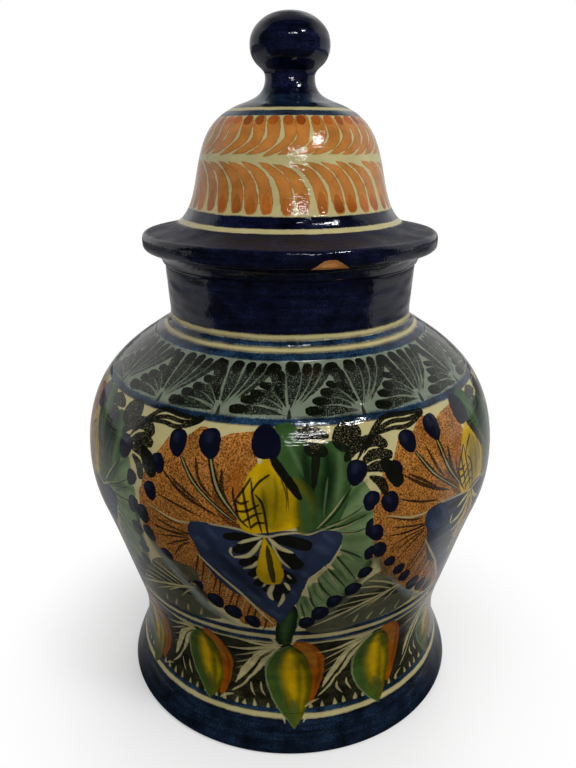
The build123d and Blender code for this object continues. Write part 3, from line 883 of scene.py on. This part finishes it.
def paintLid(wall):
    form = lidForm
    for n in range(form["upperRow"]):
        h = -2.5 + n * 360 / form["upperRow"] + jitter(0.8)
        wall.brush([(h - 14.5, 312.8 + jitter(0.5)), (h - 5, 316.2), (h + 1.9, 321.6), (h + 0.3, 331 + jitter(0.3))],
                   6.4 + jitter(0.4), "amber", (0.75, 0.2), tail=0.9, grain=0.1)
        wall.brush([(h + 0.9, 327 + jitter(0.4)), (h + 0.3, 331.2)], 4.6 + jitter(0.3),
                   rng.choice(form["heads"]), (0.4, 0.4), tail=0.9, grain=0.1, cover=rng.uniform(0.7, 1))
    for n in range(form["lowerRow"]):
        h = -1.5 + n * 360 / form["lowerRow"] + jitter(0.9)
        wall.brush([(h - 18, 309.8 + jitter(0.5)), (h - 8.6, 306), (h - 2.2, 298.6), (h, 286 + jitter(0.5))],
                   6.9 + jitter(0.5), "amber", (0.75, 0.26), tail=0.9, grain=0.1)
        wall.brush([(h - 1.5, 295.4 + jitter(1.4)), (h - 0.2, 286.3)], 4.9,
                   rng.choice(form["heads"]), (0.6, 0.36), tail=0.45, grain=0.1, cover=rng.uniform(0.6, 1))


paintLid(lidWall)
lidLayers = lidWall.keep()
lidTop, lidSeat = lidMarks
brimLevels = [lidTop + np.argmin(np.abs(lidPoints[lidTop:lidSeat, 1] - up)) for up in lidForm["brimTop"]]
seatRun = float(lidTravel[lidSeat])
flangeEnd = seatRun + lidForm["flange"]
lid.data.materials.append(glazeMaterial(
    "lidGlaze", lidForm["bands"], lidWall, lidLayers,
    [("clay", seatRun + 0.5, flangeEnd), ("inside", flangeEnd, farEnd)],
    chipped=True, dusty=[tuple(float(lidTravel[k]) for k in brimLevels)], ripple=lidForm["ripple"]))
print("lid painted")

# knob

knobForm = {
    "breaks": [(25, 338)], "gaps": [1.4, 5], "shares": [0.9, 0.1], "steps": 120, "sectors": 10,
    "bands": [(341.4, "footBlue"), (500, "navy")],
}
knob, knobPoints, knobTravel, knobMarks = spunPiece("knob_glazed", knobForm, "lid_knob", "lid")
knobWall = PaintedWall(knob, knobPoints, knobTravel, 0, knobMarks[0])
knob.data.materials.append(glazeMaterial("knobGlaze", knobForm["bands"], knobWall, 0, []))
print("knob glazed")

# floor, light and camera

stage = {
    "floor": 6.0, "floorTone": 0.86, "floorFront": 0.03, "floorSide": 0.5, "frontGlow": 0.03, "sideGlow": 0.6,
    "shadow": (0.08, 0.2), "overhead": (0.5, 0.85),
    "lamps": [  # name, place, height aimed at, size, power, whether the glaze mirrors it
        ("keyLamp", (0.52, -0.5, 1.03), 0.22, (0.3, 0.3), 3.4, False),
        ("keyGlint", (0.48, -0.47, 0.97), 0.22, (0.16, 0.055), 2.4, True),
        ("stripGlint", (0.1, -0.52, 0.62), 0.22, (0.2, 0.011), 0.6, True),
        ("leftFill", (-1.3, -0.7, 0.7), 0.2, (1.2, 1.2), 10, False),
        ("rightFill", (1.3, -0.6, 0.6), 0.2, (1.2, 1.2), 8, False),
        ("lowFill", (0, -1.3, 0.2), 0.1, (1.2, 0.4), 3.4, False),
        ("backFill", (0.2, 1.4, 1.1), 0.2, (0.8, 0.6), 9, False)],
    "camera": {"place": (0, -0.4, 0.32196), "down": 19.45, "lens": 22.0, "sensor": 24, "shift": -2 / 768},
}
bm = bmesh.new()
bmesh.ops.create_grid(bm, x_segments=8, y_segments=8, size=stage["floor"])
floor = meshed("floor", bm)


def besides(vector, across, low, high, front, side):  # dim towards the front, light to the sides and behind
    way = put("SeparateXYZ", {0: vector}).outputs
    aside = sums("MULTIPLY_ADD", sums("ABSOLUTE", way["X"]), across, way["Y"])
    return ranged(aside, low, high, front, side), way["Z"]


floorPaint = bpy.data.materials.new("paleFloor")
floorPaint.use_nodes = True
tree = floorPaint.node_tree
shader = tree.nodes["Principled BSDF"]
place = put("TexCoord", tree=tree).outputs["Object"]
seen = put("LightPath", tree=tree).outputs["Is Camera Ray"]
unseen, _ = besides(place, 0.27, -0.04, 0.06, stage["floorFront"], stage["floorSide"])
tree.links.new(blended(seen, unseen, stage["floorTone"]), shader.inputs["Base Color"])
shader.inputs["Roughness"].default_value = 0.9
shader.inputs["Specular IOR Level"].default_value = 0.1
reach = put("VectorMath", {0: place}, operation="LENGTH").outputs["Value"]
glow = put("Emission", {"Color": (1, 1, 1, 1), "Strength": 1.0}, tree).outputs[0]
away = times(ranged(reach, *stage["shadow"], 0.3, 1.0), seen)
both = put("MixShader", {0: away, 1: shader.outputs[0], 2: glow}).outputs[0]
tree.links.new(both, tree.nodes["Material Output"].inputs["Surface"])
floor.data.materials.append(floorPaint)

world = bpy.data.worlds.new("studio")
world.use_nodes = True
bpy.context.scene.world = world
tree = world.node_tree
seen = put("LightPath", tree=tree).outputs["Is Camera Ray"]
sky = put("TexCoord", tree=tree).outputs["Generated"]
aside, lift = besides(sky, 0.05, 0.02, 0.16, stage["frontGlow"], stage["sideGlow"])
aside = times(aside, ranged(lift, *stage["overhead"], 1.0, 0.25))  # darker overhead
back = tree.nodes["Background"]
back.inputs["Color"].default_value = (1, 1, 1, 1)
tree.links.new(blended(seen, aside, 1.0), back.inputs["Strength"])

for name, place, aim, size, power, mirrored in stage["lamps"]:
    lamp = bpy.data.lights.new(name, "AREA")
    lamp.shape, lamp.size, lamp.size_y, lamp.energy = "RECTANGLE", size[0], size[1], power
    held = placed(name, lamp)
    held.location = place
    held.visible_glossy = mirrored  # the broad lamps leave no haze on the dark glaze
    way = np.array((0, 0, aim)) - np.array(place)
    tilt = math.acos(-way[2] / np.linalg.norm(way))
    held.rotation_euler = (tilt, 0, math.atan2(way[1], way[0]) - math.pi / 2)

seat = stage["camera"]
lens = bpy.data.cameras.new("camera")
lens.sensor_fit, lens.sensor_height, lens.lens = "VERTICAL", seat["sensor"], seat["lens"]
lens.shift_x = seat["shift"]
lens.clip_start = 0.01
camera = placed("camera", lens)
camera.location = seat["place"]
camera.rotation_euler = (math.radians(90 - seat["down"]), 0, 0)
bpy.context.scene.camera = camera
bpy.context.scene.view_settings.view_transform = "Standard"
